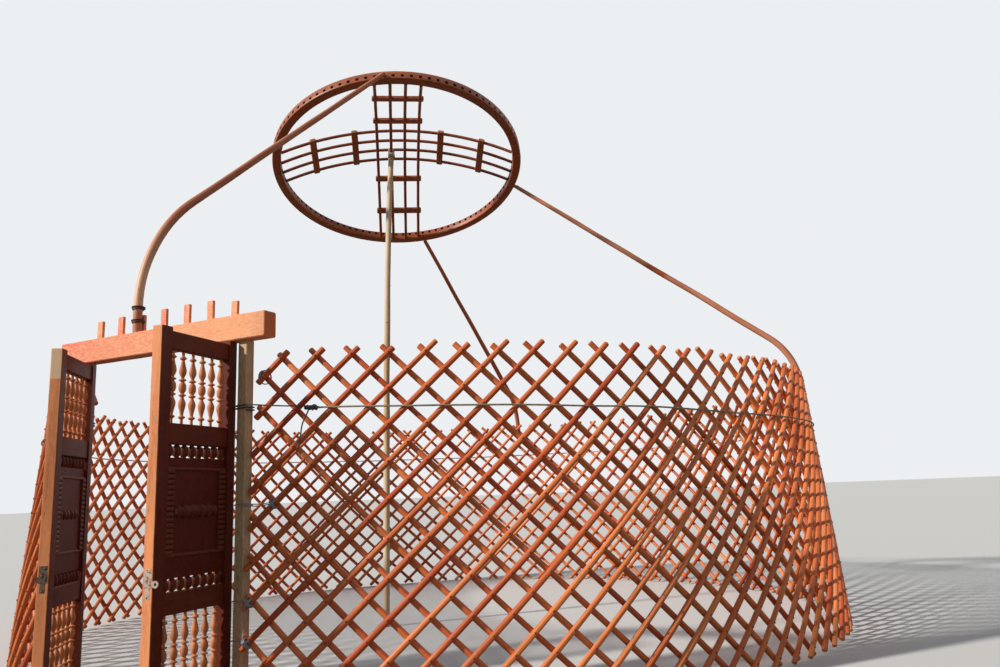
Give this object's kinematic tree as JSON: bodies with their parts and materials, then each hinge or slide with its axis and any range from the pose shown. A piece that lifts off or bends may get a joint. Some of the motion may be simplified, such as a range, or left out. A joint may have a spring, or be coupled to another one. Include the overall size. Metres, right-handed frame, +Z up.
{
  "type": "yurt frame being put up",
  "caption": "Round leaning lattice wall with a two-leaved turned door, a tilted crown ring on a prop pole and three bent roof poles; stands on level ground.",
  "frame": {"origin": "on the ground in the doorway, midway between the two door posts", "axes": "+Z up; +Y in through the doorway towards the middle of the floor; +X to the right of someone who walks in"},
  "size_m": [5.1408, 5.4697, 3.4988],
  "materials": {
    "lattice_bars": "red-brown stained willow bars with pale cut ends",
    "door_frame_wood": "red-brown stained softwood",
    "lintel_wood": "pinkish stained plank with saw marks",
    "raw_post_wood": "raw tan timber, greyed",
    "crown_wood": "dark red-brown oiled bent wood",
    "roof_pole_wood": "red-brown stained pole, paler at the foot",
    "peeled_wood": "pale peeled pole",
    "leaf_wood": "dark red-brown stained turned and planed wood",
    "iron": "weathered iron, rubbed bare on its edges",
    "rope": "grey-tan laid rope"
  },
  "bodies": {
    "frame": {"wall_lattice_01": "lattice_bars", "wall_lattice_02": "lattice_bars", "wall_lattice_03": "lattice_bars", "wall_lattice_04": "lattice_bars", "wall_lattice_05": "lattice_bars", "wall_lattice_06": "lattice_bars", "wall_lattice_07": "lattice_bars", "wall_lattice_08": "lattice_bars", "wall_lattice_09": "lattice_bars", "wall_lattice_10": "lattice_bars", "wall_lattice_11": "lattice_bars", "wall_lattice_12": "lattice_bars", "wall_lattice_13": "lattice_bars", "wall_lattice_14": "lattice_bars", "wall_lattice_15": "lattice_bars", "door_sill": "door_frame_wood", "lintel": "lintel_wood", "lintel_pegs": "lintel_wood", "left_post": "door_frame_wood", "right_post": "raw_post_wood", "crown_rim_back": "crown_wood", "crown_rim_front": "crown_wood", "crown_bars_across": "crown_wood", "crown_bars_front_to_back": "crown_wood", "roof_pole_door": "roof_pole_wood", "roof_pole_right": "roof_pole_wood", "roof_pole_back": "roof_pole_wood", "prop_pole": "peeled_wood", "belt_rope": "rope"},
    "left_leaf": {"left_leaf_stiles": "leaf_wood", "left_leaf_rails": "leaf_wood", "left_leaf_balusters": "leaf_wood", "left_leaf_board": "leaf_wood", "left_leaf_hasp": "iron"},
    "right_leaf": {"right_leaf_stiles": "leaf_wood", "right_leaf_rails": "leaf_wood", "right_leaf_balusters": "leaf_wood", "right_leaf_board": "leaf_wood", "right_leaf_hasp": "iron"}
  },
  "joints": [
    {"name": "left_leaf_swing", "type": "hinge", "parent": "frame", "child": "left_leaf", "pos_m": [-0.451, -0.0325, 0], "axis": [0, 0, 1], "range_deg": [-60, 54]},
    {"name": "right_leaf_swing", "type": "hinge", "parent": "frame", "child": "right_leaf", "pos_m": [0.451, -0.0325, 0], "axis": [0, 0, 1], "range_deg": [-98, 20]}
  ]
}
